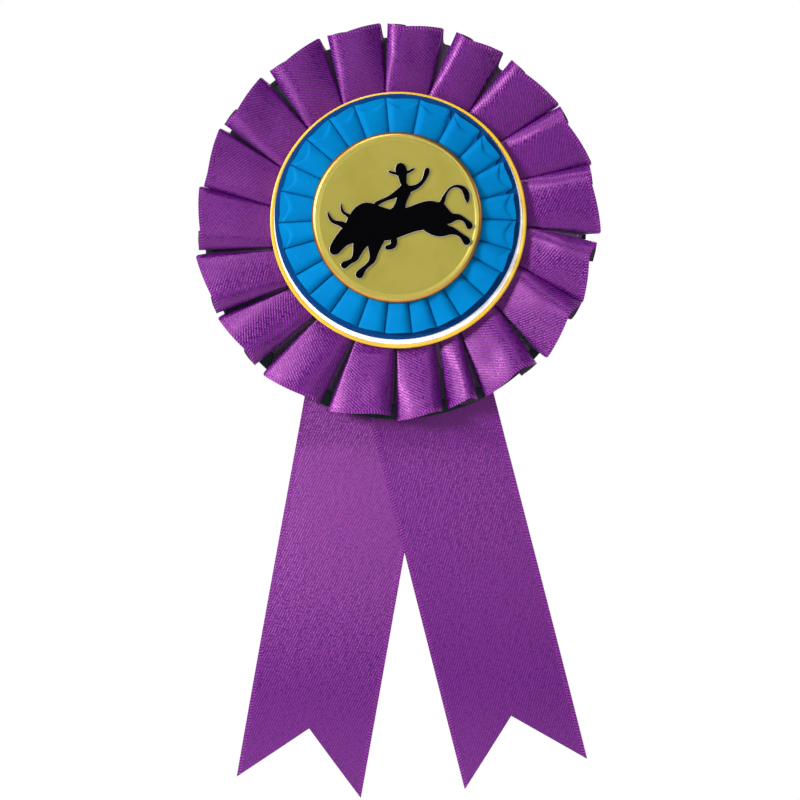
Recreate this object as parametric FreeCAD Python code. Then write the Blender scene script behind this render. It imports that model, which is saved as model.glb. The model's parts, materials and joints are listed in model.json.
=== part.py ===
"""Award rosette: a pleated purple ruffle with a medal button, two ribbon streamers and a bar pin.

Frame, in millimetres: +X to the wearer's left, +Z up, and the front of the rosette faces -Y.
The origin is the centre of the back card's rear face. Every layer is given by its rear and its
front face, both as y values, and the front value is the lower one.
"""

import FreeCAD, Part
import math
import os

from FreeCAD import Vector

# Ribbon
RIBBON_WIDTH = 38.0  # inch-and-a-half satin ribbon
RIBBON_THICK = 0.6
RIBBON_GAP = 0.2  # between the two streamers

# Layers behind the button, from the back card's rear face forward
BACK_CARD_RADIUS = 31.0
CARD_THICK = 1.0
BASE_RADIUS = 57.6
BASE_SHIFT = (-1.3, -2.0)  # the backing disc is glued a little low and to one side
HUB_RADIUS = 30.0
HUB_THICK = 0.8

# Purple ruffle
RUFFLE_INNER = 22.5
RUFFLE_OUTER = 59.8
RUFFLE_FOOT = 1.0  # height of a pleat's low edge over the hub card
RUFFLE_PRESSED = 2.4  # height of a fold under the button
RUFFLE_CREST = 6.5  # height of a fold at the hem
# Fold edges of the 19 pleats, in degrees anticlockwise from the top, as the front is seen
RUFFLE_FOLDS = [
    3.4, 21.3, 40.9, 61.1, 80.0, 98.3, 116.8, 134.9, 156.3, 177.4,
    192.8, 203.8, 223.9, 245.6, 263.8, 286.3, 305.5, 325.1, 343.1,
]

# Button: every layer is glued a little off the rosette's centre, by an (x, z) shift of its own
TRAY_RADIUS = 38.5
TRAY_SHIFT = (-0.35, 0.2)
TRAY_RIM_WIDTH = 1.2
TRAY_FLOOR = 1.2
DISC_THICK = 0.4
TRAY_RIM_HEIGHT = TRAY_FLOOR + DISC_THICK  # level with the white disc, so the navy one laps over
NAVY_RADIUS = 36.85
NAVY_SHIFT = (-0.65, 1.2)
PAD_RADIUS = 21.0
BUTTON_PAD_THICK = 2.7

# Blue inner ruffle
INNER_RUFFLE_INNER = 21.0
INNER_RUFFLE_OUTER = 35.2
INNER_RUFFLE_FOOT = 0.7
INNER_RUFFLE_CREST = 1.8  # the same all along a fold
# Fold edges of the 25 blue pleats about their own centre, which is the navy disc's
INNER_RUFFLE_FOLDS = [
    5.5, 21.5, 35.0, 49.5, 64.0, 77.5, 93.0, 106.0, 120.0, 131.5, 145.0, 160.0, 173.5,
    187.0, 199.5, 212.0, 227.5, 241.5, 253.5, 268.0, 281.5, 297.5, 313.5, 331.0, 349.0,
]

# Medal
MEDAL_RADIUS = 25.6
MEDAL_SHIFT = (-0.8, 0.8)
MEDAL_FLOOR = 0.8
MEDAL_RIM_HEIGHT = 2.2
MEDAL_RIM_WIDTH = 2.3
MEDAL_PAD_RADIUS = 19.0
MEDAL_PAD_THICK = 1.9
INSERT_THICK = 0.5
EMBLEM_THICK = 0.7
EMBLEM_SHIFT = (-0.5, -0.5)
EMBLEM_CHAMFER = 0.2

# Streamers: how far each centreline's start lies above or below the rosette's centre
LEFT_TILT = -10.1  # degrees from straight down, positive towards +X
LEFT_START_Z = 0.0
LEFT_LENGTH = 173.4  # from the start to the line through both tips
RIGHT_TILT = 14.3
RIGHT_START_Z = -17.0
RIGHT_LENGTH = 154.3
NOTCH_DEPTH = 18.4
ROOT_ABOVE = 14.0  # how far a streamer reaches up past the rosette's centre
HEM_LINE = 64.0  # distance of the line at which a streamer bends from the rosette's centre
BEND_GAP = 0.4  # each side of that line

# Staples
STAPLE_WIRE = 0.5
STAPLE_SPAN = 11.0
STAPLE_HEIGHTS = (-6.0, 6.0)

# Gathering thread of the purple ruffle
THREAD = 0.4
THREAD_RADIUS = 25.0

# Bar pin
PIN_Z = 9.0
PLATE_LENGTH = 38.0
PLATE_HEIGHT = 5.0
PLATE_THICK = 0.8
PLATE_HOLE_RADIUS = 1.1
PLATE_HOLE_X = 7.0
PATCH_LENGTH = 20.0
PATCH_HEIGHT = 15.0
PATCH_THICK = 0.35
NEEDLE_Y = 3.0
NEEDLE_RADIUS = 0.45
NEEDLE_SHANK_END = 12.4  # x where the point's taper begins, short of the catch
NEEDLE_TIP_LENGTH = 4.0
HINGE_X = -16.5
CATCH_X = 13.0
RUNNING_FIT = 0.05
RIVET_RADIUS = 0.5
EYE_RADIUS = 1.2
EYE_WIDTH = 1.2
EAR_RADIUS = 1.0
EAR_THICK = 0.5
EAR_GAP = 1.3
HOUSING_LENGTH = 2.6
HOUSING_OUTER = 2.2
ROTOR_OUTER = 1.35
ROTOR_BORE = 0.75
ROTOR_OVERHANG = 1.4
SLOT_HALF = 0.62
LEVER_REACH = 4.0
LEVER_THICK = 1.0
LEVER_ANGLE = -65.0

# Rear faces of the layers, worked out from the thicknesses
Y_LEFT_RIBBON = -CARD_THICK
Y_RIGHT_RIBBON = Y_LEFT_RIBBON - RIBBON_THICK - RIBBON_GAP
Y_BASE = Y_RIGHT_RIBBON - RIBBON_THICK
Y_HUB = Y_BASE - CARD_THICK
Y_RUFFLE = Y_HUB - HUB_THICK
Y_TRAY = Y_RUFFLE - BUTTON_PAD_THICK
Y_WHITE = Y_TRAY - TRAY_FLOOR
Y_NAVY = Y_WHITE - DISC_THICK
Y_INNER_RUFFLE = Y_NAVY - DISC_THICK
Y_MEDAL = Y_INNER_RUFFLE - MEDAL_PAD_THICK
Y_INSERT = Y_MEDAL - MEDAL_FLOOR
Y_EMBLEM = Y_INSERT - INSERT_THICK

FORWARD = Vector(0, -1, 0)


def save(name, shape):
    """Write one node, after a check that its solids are closed and sound."""
    if not shape.isValid():
        print("not valid:", name)
    print(f"{name}: {len(shape.Solids)} solid(s), {shape.Volume:.1f} mm3")
    shape.exportStep(f"parts/{name}.step")


def box(low, high):
    """A box between two opposite corners."""
    size = [b - a for a, b in zip(low, high)]
    return Part.makeBox(*size, Vector(*low))


def disc(radius, rear, thick, shift=(0, 0)):
    """A round plate whose rear face is at y = rear."""
    return Part.makeCylinder(radius, thick, Vector(shift[0], rear, shift[1]), FORWARD)


def polar(radius, degrees, y):
    """The point at this radius, turned anticlockwise from the top as the front is seen."""
    angle = math.radians(degrees)
    return Vector(-radius * math.sin(angle), y, radius * math.cos(angle))


def turned(profile, shift=(0, 0)):
    """A ring or dish: a closed (radius, y) outline turned about the rosette's axis."""
    points = [Vector(radius, y, 0) for radius, y in profile]
    face = Part.Face(Part.makePolygon(points + points[:1]))
    ring = face.revolve(Vector(0, 0, 0), Vector(0, 1, 0), 360)
    ring.translate(Vector(shift[0], 0, shift[1]))
    return ring


# ---------------------------------------------------------------- pleated rings


def pleated_ring(folds, stations, rear, foot):
    """A ring of knife pleats as one solid: each pleat rises to its fold, then drops to the next.

    The stations are (radius, height of a fold there), from the inner edge to the hem.
    """
    faces = []

    def add(*points):
        faces.append(Part.Face(Part.makePolygon(list(points) + [points[0]])))

    inner, inner_crest = stations[0]
    outer, outer_crest = stations[-1]
    for start, end in zip(folds, folds[1:] + [folds[0] + 360]):
        for (near, near_crest), (far, far_crest) in zip(stations, stations[1:]):
            low_near = polar(near, start, rear - foot)
            low_far = polar(far, start, rear - foot)
            high_near = polar(near, end, rear - near_crest)
            high_far = polar(far, end, rear - far_crest)
            next_near = polar(near, end, rear - foot)
            next_far = polar(far, end, rear - foot)
            add(low_near, low_far, high_far)
            add(low_near, high_far, high_near)
            add(high_near, high_far, next_far, next_near)
            back = [polar(near, start, rear), polar(near, end, rear)]
            back += [polar(far, end, rear), polar(far, start, rear)]
            add(*back)
        for radius, crest in ((inner, inner_crest), (outer, outer_crest)):
            edge = [polar(radius, start, rear), polar(radius, end, rear)]
            edge += [polar(radius, end, rear - foot), polar(radius, end, rear - crest)]
            edge += [polar(radius, start, rear - foot)]
            add(*edge)
    solid = Part.makeSolid(Part.makeShell(faces))
    if solid.Volume < 0:
        solid.reverse()
    return solid


def gathering_thread():
    """The thread that runs round the purple ruffle and holds its folds down."""
    return Part.makeTorus(THREAD_RADIUS, THREAD / 2, Vector(0, Y_RUFFLE - RUFFLE_PRESSED, 0), FORWARD)


# ---------------------------------------------------------------- streamers


def streamer(tilt, start_z, length, rear):
    """The whole flat ribbon with its swallowtail end, tilted about its start on the centreline."""
    half = RIBBON_WIDTH / 2
    outline = [(-half, ROOT_ABOVE), (half, ROOT_ABOVE), (half, -length)]
    outline += [(0, NOTCH_DEPTH - length), (-half, -length)]
    points = [Vector(x, rear, z) for x, z in outline]
    ribbon = Part.Face(Part.makePolygon(points + points[:1])).extrude(FORWARD * RIBBON_THICK)
    ribbon.rotate(Vector(0, 0, 0), Vector(0, 1, 0), -tilt)
    ribbon.translate(Vector(0, 0, start_z))
    return ribbon


def bend_distance(tilt, start_z):
    """How far along the centreline, from its start, the streamer meets its bend line."""
    return HEM_LINE + start_z * math.cos(math.radians(tilt))


def split_at_bend(ribbon, tilt, start_z):
    """The fixed root above the bend line and the hanging tail below it, a small gap apart."""
    reach = 300
    distance = bend_distance(tilt, start_z)
    above = box((-reach, -50, -distance + BEND_GAP), (reach, 50, reach))
    below = box((-reach, -50, -reach), (reach, 50, -distance - BEND_GAP))
    parts = []
    for half_space in (above, below):
        half_space.rotate(Vector(0, 0, 0), Vector(0, 1, 0), -tilt)
        half_space.translate(Vector(0, 0, start_z))
        parts.append(ribbon.common(half_space).Solids[0])
    return parts


def staples():
    """Two wire staples: a crown behind the ribbons, two legs, and their clinched ends."""
    wire = STAPLE_WIRE
    half = STAPLE_SPAN / 2
    rear = Y_LEFT_RIBBON + wire
    front = Y_RUFFLE - wire
    clinch = 3.0
    made = []
    for z in STAPLE_HEIGHTS:
        low, high = z - wire / 2, z + wire / 2
        crown = box((-half, rear - wire, low), (half, rear, high))
        left = box((-half, front, low), (-half + wire, rear, high))
        right = box((half - wire, front, low), (half, rear, high))
        left_end = box((-half, front, low), (-half + clinch, front + wire, high))
        right_end = box((half - clinch, front, low), (half, front + wire, high))
        staple = crown.multiFuse([left, right, left_end, right_end]).removeSplitter()
        made.append(staple.Solids[0])
    return Part.makeCompound(made)


# ---------------------------------------------------------------- button and medal


def button_tray():
    """Moulded tray: a flat floor and a low rounded rim."""
    edge = 0.3
    rim_inner = TRAY_RADIUS - TRAY_RIM_WIDTH
    rim_front = Y_TRAY - TRAY_RIM_HEIGHT
    profile = [(0, Y_TRAY), (TRAY_RADIUS - edge, Y_TRAY), (TRAY_RADIUS, Y_TRAY - edge)]
    profile += [(TRAY_RADIUS, rim_front + edge), (TRAY_RADIUS - edge, rim_front)]
    profile += [(rim_inner + edge, rim_front), (rim_inner, rim_front + edge)]
    profile += [(rim_inner, Y_WHITE), (0, Y_WHITE)]
    return turned(profile, TRAY_SHIFT)


def medal_bezel():
    """Spun dish with a rounded rim that stands proud of the insert."""
    inner = MEDAL_RADIUS - MEDAL_RIM_WIDTH
    front = Y_MEDAL - MEDAL_RIM_HEIGHT
    edge = 0.5
    crest = MEDAL_RADIUS - MEDAL_RIM_WIDTH / 2
    profile = [(0, Y_MEDAL), (MEDAL_RADIUS - edge, Y_MEDAL), (MEDAL_RADIUS, Y_MEDAL - edge)]
    profile += [(MEDAL_RADIUS, front + 2 * edge), (MEDAL_RADIUS - edge / 2, front + edge / 2)]
    profile += [(crest, front), (inner + edge / 2, front + edge / 2)]
    profile += [(inner, Y_EMBLEM), (inner, Y_INSERT), (0, Y_INSERT)]
    return turned(profile, MEDAL_SHIFT)


def smooth_plate(points, y, thick):
    """A plate whose outline is one smooth closed curve through the points, given as (x, z)."""
    corners = [Vector(x, y, z) for x, z in points]
    places = [0.0]
    for start, end in zip(corners, corners[1:] + corners[:1]):
        places.append(places[-1] + math.sqrt(start.distanceToPoint(end)))
    curve = Part.BSplineCurve()
    curve.interpolate(Points=corners, PeriodicFlag=True, Parameters=places)
    return Part.Face(Part.Wire(curve.toShape())).extrude(FORWARD * thick)


def limb_outline(joints):
    """The outline round a bent limb. Each joint is (x, z, half width); the ends are blunt."""
    left, right = [], []
    last = len(joints) - 1
    for index, (x, z, half) in enumerate(joints):
        before = joints[max(index - 1, 0)]
        after = joints[min(index + 1, last)]
        length = math.hypot(after[0] - before[0], after[1] - before[1])
        dx = (after[0] - before[0]) / length
        dz = (after[1] - before[1]) / length
        left.append((x - dz * half, z + dx * half))
        right.append((x + dz * half, z - dx * half))
        if index == 0:
            start_cap = (x - dx * half * LIMB_CAP, z - dz * half * LIMB_CAP)
        if index == last:
            end_cap = (x + dx * half * LIMB_CAP, z + dz * half * LIMB_CAP)
    return [start_cap] + left + [end_cap] + right[::-1]


# The emblem is a rider on a bucking bull that faces left. Each limb is a chain of joints,
# (x, z, half width) in millimetres from the emblem's centre.
LIMB_CAP = 0.7
EMBLEM_LIMBS = {
    "trunk": [(-12.8, -2.6, 4.2), (-9.0, 0.2, 5.7), (-3.4, -0.9, 5.0), (3.0, 0.3, 4.0),
              (8.6, 1.9, 4.3), (12.4, 2.6, 3.4)],
    "head": [(-11.6, -2.6, 3.9), (-15.0, -4.2, 3.0), (-17.6, -6.6, 2.2), (-19.2, -9.0, 1.6)],
    "near_horn": [(-14.6, -2.0, 1.1), (-17.4, -0.6, 0.95), (-19.8, 0.4, 0.7), (-21.0, 2.8, 0.3)],
    "far_horn": [(-13.4, -1.0, 1.0), (-14.6, 1.6, 0.8), (-16.4, 2.9, 0.6), (-17.0, 5.2, 0.3)],
    "near_foreleg": [(-9.8, -3.6, 3.3), (-11.8, -8.0, 1.9), (-13.0, -11.2, 1.15),
                     (-14.6, -12.2, 0.95), (-16.3, -13.2, 1.2)],
    "far_foreleg": [(-6.4, -4.2, 3.0), (-7.2, -8.6, 1.8), (-7.8, -11.8, 1.1),
                    (-10.0, -14.0, 0.9), (-11.7, -16.2, 1.3)],
    "near_hindleg": [(9.8, 0.6, 4.0), (13.6, -2.6, 2.4), (16.4, -2.9, 1.3), (19.0, -4.3, 0.9),
                     (20.8, -6.2, 1.3)],
    "far_hindleg": [(12.0, 2.9, 3.2), (15.8, 0.9, 1.9), (18.0, 1.3, 1.15), (20.2, 0.2, 0.85),
                    (21.6, -1.6, 1.2)],
    "tail": [(12.8, 4.4, 0.9), (14.2, 8.0, 0.6), (16.6, 10.4, 0.55), (19.2, 10.0, 0.85),
             (20.6, 7.8, 1.1), (20.8, 5.6, 0.4)],
    "rider_torso": [(0.2, 2.4, 2.3), (0.9, 5.6, 1.75), (1.9, 8.8, 2.1), (2.2, 10.6, 1.5)],
    "rider_head": [(1.8, 10.8, 0.9), (1.5, 12.7, 1.35), (1.3, 14.0, 1.3)],
    "hat_brim": [(-2.8, 15.0, 0.4), (-0.6, 14.3, 0.6), (2.6, 14.6, 0.6), (4.9, 15.8, 0.4)],
    "hat_crown": [(1.2, 14.4, 1.9), (0.9, 15.7, 1.85), (0.7, 16.6, 1.6)],
    "free_arm": [(2.2, 9.6, 1.3), (5.2, 10.2, 0.95), (7.8, 12.6, 0.8), (8.9, 15.6, 0.85)],
    "rein_arm": [(1.6, 9.6, 1.2), (-1.8, 7.4, 0.95), (-4.6, 6.2, 0.75), (-6.8, 5.0, 0.7)],
    "rider_leg": [(0.4, 3.0, 2.3), (-2.2, 0.6, 1.9), (-1.4, -4.2, 1.6)],
    "boot": [(-1.2, -5.2, 1.2), (-1.5, -7.2, 1.1), (-3.4, -7.9, 0.8)],
}


def emblem():
    """Raised figure of the bull and rider: one thin plate, chamfered round its front face."""
    outlines = [limb_outline(joints) for joints in EMBLEM_LIMBS.values()]
    figure = smooth_plate(outlines[0], Y_EMBLEM, EMBLEM_THICK)
    for outline in outlines[1:]:
        figure = figure.fuse(smooth_plate(outline, Y_EMBLEM, EMBLEM_THICK))
    figure = figure.removeSplitter().Solids[0]
    front = figure.BoundBox.YMin
    rim = [edge for edge in figure.Edges if edge.BoundBox.YMax < front + EMBLEM_CHAMFER / 2]
    figure = figure.makeChamfer(EMBLEM_CHAMFER, rim)
    figure.translate(Vector(EMBLEM_SHIFT[0], 0, EMBLEM_SHIFT[1]))
    return figure


# ---------------------------------------------------------------- bar pin


def pin_plate():
    """Base plate with two holes and the two ears that carry the rivet."""
    low_z = PIN_Z - PLATE_HEIGHT / 2
    plate = box((-PLATE_LENGTH / 2, 0, low_z), (PLATE_LENGTH / 2, PLATE_THICK, low_z + PLATE_HEIGHT))
    for x in (-PLATE_HOLE_X, PLATE_HOLE_X):
        hole = Part.makeCylinder(PLATE_HOLE_RADIUS, 3, Vector(x, -1, PIN_Z), Vector(0, 1, 0))
        plate = plate.cut(hole)
    for side in (-1, 1):
        near = PIN_Z + side * EAR_GAP / 2
        far = PIN_Z + side * (EAR_GAP / 2 + EAR_THICK)
        low, high = min(near, far), max(near, far)
        post_low = (HINGE_X - EAR_RADIUS, PLATE_THICK / 2, low)
        post = box(post_low, (HINGE_X + EAR_RADIUS, NEEDLE_Y, high))
        top = Part.makeCylinder(EAR_RADIUS, EAR_THICK, Vector(HINGE_X, NEEDLE_Y, low))
        plate = plate.fuse(post).fuse(top)
    return plate.removeSplitter().cut(rivet_shank()).Solids[0]


def rivet_shank():
    """The rivet's body between the outer faces of the ears."""
    height = EAR_GAP + 2 * EAR_THICK
    return Part.makeCylinder(RIVET_RADIUS, height, Vector(HINGE_X, NEEDLE_Y, PIN_Z - height / 2))


def hinge_rivet():
    """Rivet through both ears, with a domed head outside each ear."""
    rivet = rivet_shank()
    height = EAR_GAP + 2 * EAR_THICK
    for side in (-1, 1):
        foot = Vector(HINGE_X, NEEDLE_Y, PIN_Z + side * height / 2)
        rivet = rivet.fuse(Part.makeCone(0.85, 0.55, 0.35, foot, Vector(0, 0, side)))
    return rivet.removeSplitter().Solids[0]


def needle():
    """Pin with an eye round the rivet and a pointed tip, lying along +X when shut."""
    eye = Part.makeCylinder(EYE_RADIUS, EYE_WIDTH, Vector(HINGE_X, NEEDLE_Y, PIN_Z - EYE_WIDTH / 2))
    start = Vector(HINGE_X, NEEDLE_Y, PIN_Z)
    along = Vector(1, 0, 0)
    shank = Part.makeCylinder(NEEDLE_RADIUS, NEEDLE_SHANK_END - HINGE_X, start, along)
    tip_start = Vector(NEEDLE_SHANK_END, NEEDLE_Y, PIN_Z)
    tip = Part.makeCone(NEEDLE_RADIUS, 0.08, NEEDLE_TIP_LENGTH, tip_start, along)
    bore_start = Vector(HINGE_X, NEEDLE_Y, PIN_Z - EYE_WIDTH)
    bore = Part.makeCylinder(RIVET_RADIUS + RUNNING_FIT, 2 * EYE_WIDTH, bore_start)
    return eye.multiFuse([shank, tip]).cut(bore).removeSplitter().Solids[0]


def catch_tube(outer, bore, start_x, length):
    """A tube along the needle's line, open along its rear side for the needle to leave."""
    start = Vector(start_x, NEEDLE_Y, PIN_Z)
    along = Vector(1, 0, 0)
    tube = Part.makeCylinder(outer, length, start, along)
    tube = tube.cut(Part.makeCylinder(bore, length, start, along))
    slot_low = (start_x, NEEDLE_Y, PIN_Z - SLOT_HALF)
    slot_high = (start_x + length, NEEDLE_Y + outer + 1, PIN_Z + SLOT_HALF)
    return tube.cut(box(slot_low, slot_high))


def catch_housing():
    """Fixed sleeve of the safety catch, on a foot that stands on the plate."""
    bore = ROTOR_OUTER + RUNNING_FIT
    sleeve = catch_tube(HOUSING_OUTER, bore, CATCH_X, HOUSING_LENGTH)
    foot_low = (CATCH_X, PLATE_THICK, PIN_Z - HOUSING_OUTER)
    foot_high = (CATCH_X + HOUSING_LENGTH, NEEDLE_Y, PIN_Z + HOUSING_OUTER)
    foot = box(foot_low, foot_high)
    start = Vector(CATCH_X, NEEDLE_Y, PIN_Z)
    foot = foot.cut(Part.makeCylinder(bore, HOUSING_LENGTH, start, Vector(1, 0, 0)))
    return sleeve.fuse(foot).removeSplitter().Solids[0]


def catch_rotor():
    """Turning sleeve inside the housing. Its thumb lever stands clear past the housing's end."""
    length = HOUSING_LENGTH + ROTOR_OVERHANG
    rotor = catch_tube(ROTOR_OUTER, ROTOR_BORE, CATCH_X, length)
    lever_x = CATCH_X + HOUSING_LENGTH + 0.2
    lever_end = CATCH_X + length
    lever = box(
        (lever_x, NEEDLE_Y + ROTOR_BORE + 0.2, PIN_Z - LEVER_THICK / 2),
        (lever_end, NEEDLE_Y + LEVER_REACH, PIN_Z + LEVER_THICK / 2),
    )
    lever.rotate(Vector(0, NEEDLE_Y, PIN_Z), Vector(1, 0, 0), LEVER_ANGLE)
    return rotor.fuse(lever).removeSplitter().Solids[0]


def pin_patch():
    """Fabric patch over the middle of the plate: two glued wings and a raised bridge."""
    half = PATCH_HEIGHT / 2
    step = PLATE_HEIGHT / 2 + 0.2
    thick = PATCH_THICK
    top = PLATE_THICK + thick
    outline = [(-half, 0), (-step, 0), (-step, PLATE_THICK), (step, PLATE_THICK), (step, 0)]
    outline += [(half, 0), (half, thick), (step + thick, thick), (step + thick, top)]
    outline += [(-step - thick, top), (-step - thick, thick), (-half, thick)]
    points = [Vector(-PATCH_LENGTH / 2, y, PIN_Z + z) for z, y in outline]
    face = Part.Face(Part.makePolygon(points + points[:1]))
    return face.extrude(Vector(PATCH_LENGTH, 0, 0))


# ---------------------------------------------------------------- the whole rosette


def main():
    os.makedirs("parts", exist_ok=True)
    wire = staples()

    left = streamer(LEFT_TILT, LEFT_START_Z, LEFT_LENGTH, Y_LEFT_RIBBON).cut(wire)
    left_root, left_tail = split_at_bend(left, LEFT_TILT, LEFT_START_Z)
    right = streamer(RIGHT_TILT, RIGHT_START_Z, RIGHT_LENGTH, Y_RIGHT_RIBBON).cut(wire)
    right_root, right_tail = split_at_bend(right, RIGHT_TILT, RIGHT_START_Z)
    save("streamer_left_root", left_root)
    save("streamer_left_tail", left_tail)
    save("streamer_right_root", right_root)
    save("streamer_right_tail", right_tail)

    save("staples", wire)
    save("back_card", disc(BACK_CARD_RADIUS, 0, CARD_THICK).cut(wire))
    save("base_disc", disc(BASE_RADIUS, Y_BASE, CARD_THICK, BASE_SHIFT).cut(wire))
    save("pleat_card", disc(HUB_RADIUS, Y_HUB, HUB_THICK).cut(wire))
    save("button_pad", disc(PAD_RADIUS, Y_RUFFLE, BUTTON_PAD_THICK).cut(wire))

    stations = [(RUFFLE_INNER, RUFFLE_PRESSED), (TRAY_RADIUS + 0.5, RUFFLE_PRESSED)]
    stations += [(RUFFLE_OUTER, RUFFLE_CREST)]
    ruffle = pleated_ring(RUFFLE_FOLDS, stations, Y_RUFFLE, RUFFLE_FOOT)
    thread = gathering_thread()
    save("purple_ruffle", ruffle.cut(thread))
    save("ruffle_stitching", thread)

    save("button_tray", button_tray())
    save("white_disc", disc(TRAY_RADIUS - TRAY_RIM_WIDTH, Y_WHITE, DISC_THICK, TRAY_SHIFT))
    save("navy_disc", disc(NAVY_RADIUS, Y_NAVY, DISC_THICK, NAVY_SHIFT))
    stations = [(INNER_RUFFLE_INNER, INNER_RUFFLE_CREST), (INNER_RUFFLE_OUTER, INNER_RUFFLE_CREST)]
    inner = pleated_ring(INNER_RUFFLE_FOLDS, stations, Y_INNER_RUFFLE, INNER_RUFFLE_FOOT)
    inner.translate(Vector(NAVY_SHIFT[0], 0, NAVY_SHIFT[1]))
    save("inner_ruffle", inner)
    save("medal_pad", disc(MEDAL_PAD_RADIUS, Y_INNER_RUFFLE, MEDAL_PAD_THICK, MEDAL_SHIFT))
    save("medal_bezel", medal_bezel())
    insert_radius = MEDAL_RADIUS - MEDAL_RIM_WIDTH
    save("medal_insert", disc(insert_radius, Y_INSERT, INSERT_THICK, MEDAL_SHIFT))
    save("emblem", emblem())

    save("pin_plate", pin_plate())
    save("hinge_rivet", hinge_rivet())
    save("needle", needle())
    save("catch_housing", catch_housing())
    save("catch_rotor", catch_rotor())
    save("pin_patch", pin_patch())


main()
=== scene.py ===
import json
import math

import bmesh
import bpy
import numpy as np
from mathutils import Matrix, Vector, noise


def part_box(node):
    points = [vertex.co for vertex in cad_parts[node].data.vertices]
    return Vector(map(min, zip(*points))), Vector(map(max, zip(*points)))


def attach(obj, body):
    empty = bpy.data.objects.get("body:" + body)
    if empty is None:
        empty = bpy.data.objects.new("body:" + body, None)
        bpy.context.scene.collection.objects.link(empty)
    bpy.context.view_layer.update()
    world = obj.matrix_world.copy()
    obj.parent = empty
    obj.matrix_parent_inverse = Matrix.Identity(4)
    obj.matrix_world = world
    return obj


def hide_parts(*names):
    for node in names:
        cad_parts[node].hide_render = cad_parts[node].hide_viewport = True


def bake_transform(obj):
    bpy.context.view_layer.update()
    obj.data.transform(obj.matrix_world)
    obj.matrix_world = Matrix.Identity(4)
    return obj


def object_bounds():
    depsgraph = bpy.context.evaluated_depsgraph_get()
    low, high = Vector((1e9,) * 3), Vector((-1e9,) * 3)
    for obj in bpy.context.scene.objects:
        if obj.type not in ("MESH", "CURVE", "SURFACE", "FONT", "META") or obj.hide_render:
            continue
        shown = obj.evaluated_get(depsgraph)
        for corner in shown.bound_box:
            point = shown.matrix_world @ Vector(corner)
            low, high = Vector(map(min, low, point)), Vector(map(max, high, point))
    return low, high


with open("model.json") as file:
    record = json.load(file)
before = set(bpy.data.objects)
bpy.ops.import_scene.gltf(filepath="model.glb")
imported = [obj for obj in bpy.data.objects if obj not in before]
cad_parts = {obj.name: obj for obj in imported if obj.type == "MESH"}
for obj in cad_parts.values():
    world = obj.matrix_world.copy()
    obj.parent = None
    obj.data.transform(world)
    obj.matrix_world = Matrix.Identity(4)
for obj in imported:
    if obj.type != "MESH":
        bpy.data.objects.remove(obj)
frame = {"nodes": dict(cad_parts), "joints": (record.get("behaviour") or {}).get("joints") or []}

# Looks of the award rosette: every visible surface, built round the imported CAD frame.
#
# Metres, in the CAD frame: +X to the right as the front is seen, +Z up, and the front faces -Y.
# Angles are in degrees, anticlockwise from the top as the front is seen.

CAD_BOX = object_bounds()
MM = 0.001

# ---------------------------------------------------------------- sizes worked out from the frame


def middle(node):
    """The centre of a node's box, as (x, z)."""
    low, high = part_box(node)
    return (low.x + high.x) / 2, (low.z + high.z) / 2


def radius(node):
    """Half the width of a node's box."""
    low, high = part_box(node)
    return (high.x - low.x) / 2


def front(node):
    """The y of a node's foremost point."""
    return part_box(node)[0].y


def rear(node):
    """The y of a node's rearmost point."""
    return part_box(node)[1].y


def fold_angles(node, centre=(0.0, 0.0)):
    """The angles at which a CAD ruffle's folds meet its hem."""
    same_height = 0.01 * MM
    hem_band = 0.6 * MM
    places = []
    for vertex in frame["nodes"][node].data.vertices:
        x, z = vertex.co.x - centre[0], vertex.co.z - centre[1]
        places.append((math.hypot(x, z), math.degrees(math.atan2(-x, z)) % 360, vertex.co.y))
    crest = min(y for reach, angle, y in places)
    outer = max(reach for reach, angle, y in places)
    found = set()
    for reach, angle, y in places:
        if y < crest + same_height and reach > outer - hem_band:
            found.add(round(angle, 1))
    return sorted(found)


BUTTON_RADIUS = radius("button_tray")
BUTTON_REACH = BUTTON_RADIUS + math.hypot(*middle("button_tray"))
HUB_FRONT = front("pleat_card")

# ---------------------------------------------------------------- given shapes

# The purple pleats, anticlockwise from the top. Of each: the gap before it at the hem and at the
# button and the lean of its fold from hem to button, in degrees, then how far out its hem lies
# at its start, at its dip and at its fold, in millimetres.
PURPLE_PLEATS = [
    (4.10, 0.3, 2.85, 59.4, 58.1, 59.4),
    (2.20, 0.3, 4.65, 59.8, 58.5, 59.6),
    (2.50, 0.3, 3.80, 60.1, 58.5, 59.5),
    (3.10, 0.3, 4.50, 60.1, 58.6, 60.1),
    (1.70, 0.3, 3.10, 60.9, 59.2, 59.6),
    (0.30, 0.3, 3.15, 61.1, 59.7, 60.9),
    (1.45, 2.0, 3.25, 62.2, 60.6, 61.6),
    (1.35, 2.0, 2.90, 62.0, 60.2, 61.4),
    (3.50, 2.2, 1.85, 61.9, 59.7, 60.2),
    (3.15, 1.8, 0.40, 61.1, 58.2, 58.5),
    (2.00, 1.3, 3.10, 60.2, 58.4, 58.5),
    (1.90, 2.8, 4.05, 58.4, 57.2, 58.6),
    (2.50, 1.2, 4.85, 59.0, 57.3, 59.5),
    (3.30, 0.3, 3.80, 60.6, 58.1, 60.0),
    (0.40, 0.3, 3.75, 60.4, 57.8, 59.7),
    (2.85, 0.3, 2.50, 60.7, 58.5, 59.5),
    (0.25, 0.3, 2.60, 60.4, 57.9, 59.3),
    (0.75, 0.3, 2.40, 59.5, 57.8, 58.9),
    (3.30, 0.3, 3.80, 59.5, 57.8, 59.3),
]
PURPLE_TUCKS = (5.6, 14.5, 16.5)  # degrees that a fold's return reaches back: hem, button, inner edge
PURPLE_INNER_TURN = 1.9  # how many leans a fold has turned by at the inner edge; at the button, one
PURPLE_FLOOR_REACH = 55.0 * MM
PURPLE_INNER = 22.5 * MM
PURPLE_HEM = 60.0 * MM
PURPLE_PRESSED = 2.2 * MM  # how high the folds stand at the button
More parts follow.
